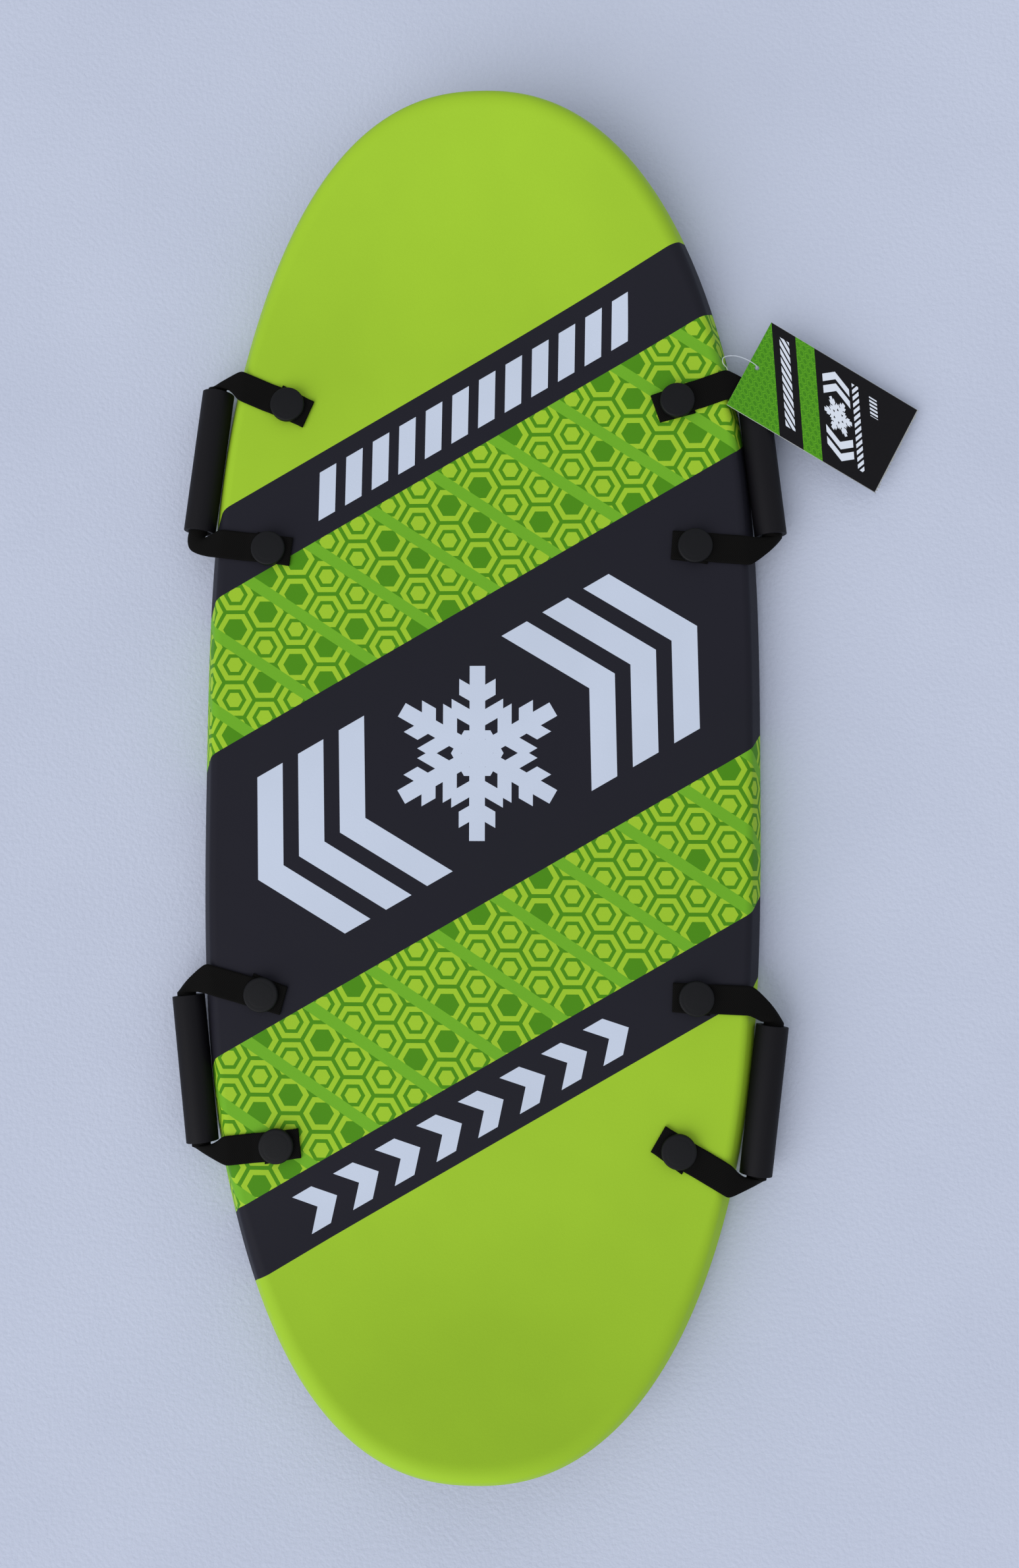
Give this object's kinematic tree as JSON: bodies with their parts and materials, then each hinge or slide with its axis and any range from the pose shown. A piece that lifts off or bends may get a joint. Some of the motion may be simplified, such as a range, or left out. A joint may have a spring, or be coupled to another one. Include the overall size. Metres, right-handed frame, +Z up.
{
  "type": "foam snow board",
  "caption": "Twin-tip foam snow board with a printed skin, upturned tips and webbing grab handles that swing up along both rails.",
  "frame": {"origin": "middle of the flat underside of the base", "axes": "+X across the board to the side with the hang tag, +Y along the board to the front tip, +Z up out of the deck"},
  "size_m": [0.6553, 1.1774, 0.092],
  "materials": {
    "foam": "closed-cell foam",
    "printed_skin": "satin film printed in greens and black",
    "slick": "smooth",
    "moulded": "fine grain",
    "webbing": "woven",
    "grip": "matt extruded sleeve",
    "card": "printed card",
    "clear_loop": "clear filament"
  },
  "bodies": {
    "board": {"foam_core": "foam", "deck_skin": "printed_skin", "slick_base": "slick", "strap_end_left_front_outer": "webbing", "plug_cap_left_front_outer": "moulded", "plug_base_left_front_outer": "moulded", "strap_end_left_front_inner": "webbing", "plug_cap_left_front_inner": "moulded", "plug_base_left_front_inner": "moulded", "strap_end_right_front_outer": "webbing", "plug_cap_right_front_outer": "moulded", "plug_base_right_front_outer": "moulded", "strap_end_right_front_inner": "webbing", "plug_cap_right_front_inner": "moulded", "plug_base_right_front_inner": "moulded", "strap_end_left_rear_outer": "webbing", "plug_cap_left_rear_outer": "moulded", "plug_base_left_rear_outer": "moulded", "strap_end_left_rear_inner": "webbing", "plug_cap_left_rear_inner": "moulded", "plug_base_left_rear_inner": "moulded", "strap_end_right_rear_outer": "webbing", "plug_cap_right_rear_outer": "moulded", "plug_base_right_rear_outer": "moulded", "strap_end_right_rear_inner": "webbing", "plug_cap_right_rear_inner": "moulded", "plug_base_right_rear_inner": "moulded"},
    "handle_left_front": {"strap_loop_left_front": "webbing"},
    "grip_sleeve_left_front": {"grip_left_front": "grip"},
    "handle_right_front": {"strap_loop_right_front": "webbing", "tag_loop": "clear_loop"},
    "grip_sleeve_right_front": {"grip_right_front": "grip"},
    "handle_left_rear": {"strap_loop_left_rear": "webbing"},
    "grip_sleeve_left_rear": {"grip_left_rear": "grip"},
    "handle_right_rear": {"strap_loop_right_rear": "webbing"},
    "grip_sleeve_right_rear": {"grip_right_rear": "grip"},
    "hang_tag": {"tag_card": "card"}
  },
  "joints": [
    {"name": "swing_left_front", "type": "hinge", "parent": "board", "child": "handle_left_front", "pos_m": [-0.22243, 0.26342, 0.0417], "axis": [0.1174, 0.9931, 0], "range_deg": [0, 160]},
    {"name": "spin_left_front", "type": "hinge", "parent": "handle_left_front", "child": "grip_sleeve_left_front", "pos_m": [-0.24552, 0.27719, 0.0225], "axis": [0.1174, 0.9931, 0], "continuous": true},
    {"name": "swing_right_front", "type": "hinge", "parent": "board", "child": "handle_right_front", "pos_m": [0.22243, 0.26342, 0.0417], "axis": [0.1174, -0.9931, 0], "range_deg": [0, 160]},
    {"name": "spin_right_front", "type": "hinge", "parent": "handle_right_front", "child": "grip_sleeve_right_front", "pos_m": [0.24631, 0.27053, 0.0225], "axis": [0.1174, -0.9931, 0], "continuous": true},
    {"name": "swing_left_rear", "type": "hinge", "parent": "board", "child": "handle_left_rear", "pos_m": [-0.22243, -0.26342, 0.0417], "axis": [-0.1174, 0.9931, 0], "range_deg": [0, 160]},
    {"name": "spin_left_rear", "type": "hinge", "parent": "handle_left_rear", "child": "grip_sleeve_left_rear", "pos_m": [-0.24762, -0.25951, 0.0225], "axis": [-0.1174, 0.9931, 0], "continuous": true},
    {"name": "swing_right_rear", "type": "hinge", "parent": "board", "child": "handle_right_rear", "pos_m": [0.22243, -0.26342, 0.0417], "axis": [-0.1174, -0.9931, 0], "range_deg": [0, 160]},
    {"name": "spin_right_rear", "type": "hinge", "parent": "handle_right_rear", "child": "grip_sleeve_right_rear", "pos_m": [0.24507, -0.28103, 0.0225], "axis": [-0.1174, -0.9931, 0], "continuous": true},
    {"name": "tag_swivel", "type": "hinge", "parent": "handle_right_front", "child": "hang_tag", "pos_m": [0.24102, 0.35313, 0.0365], "axis": [0.198, 0.0234, 0.9799], "range_deg": [-25, 25]}
  ]
}
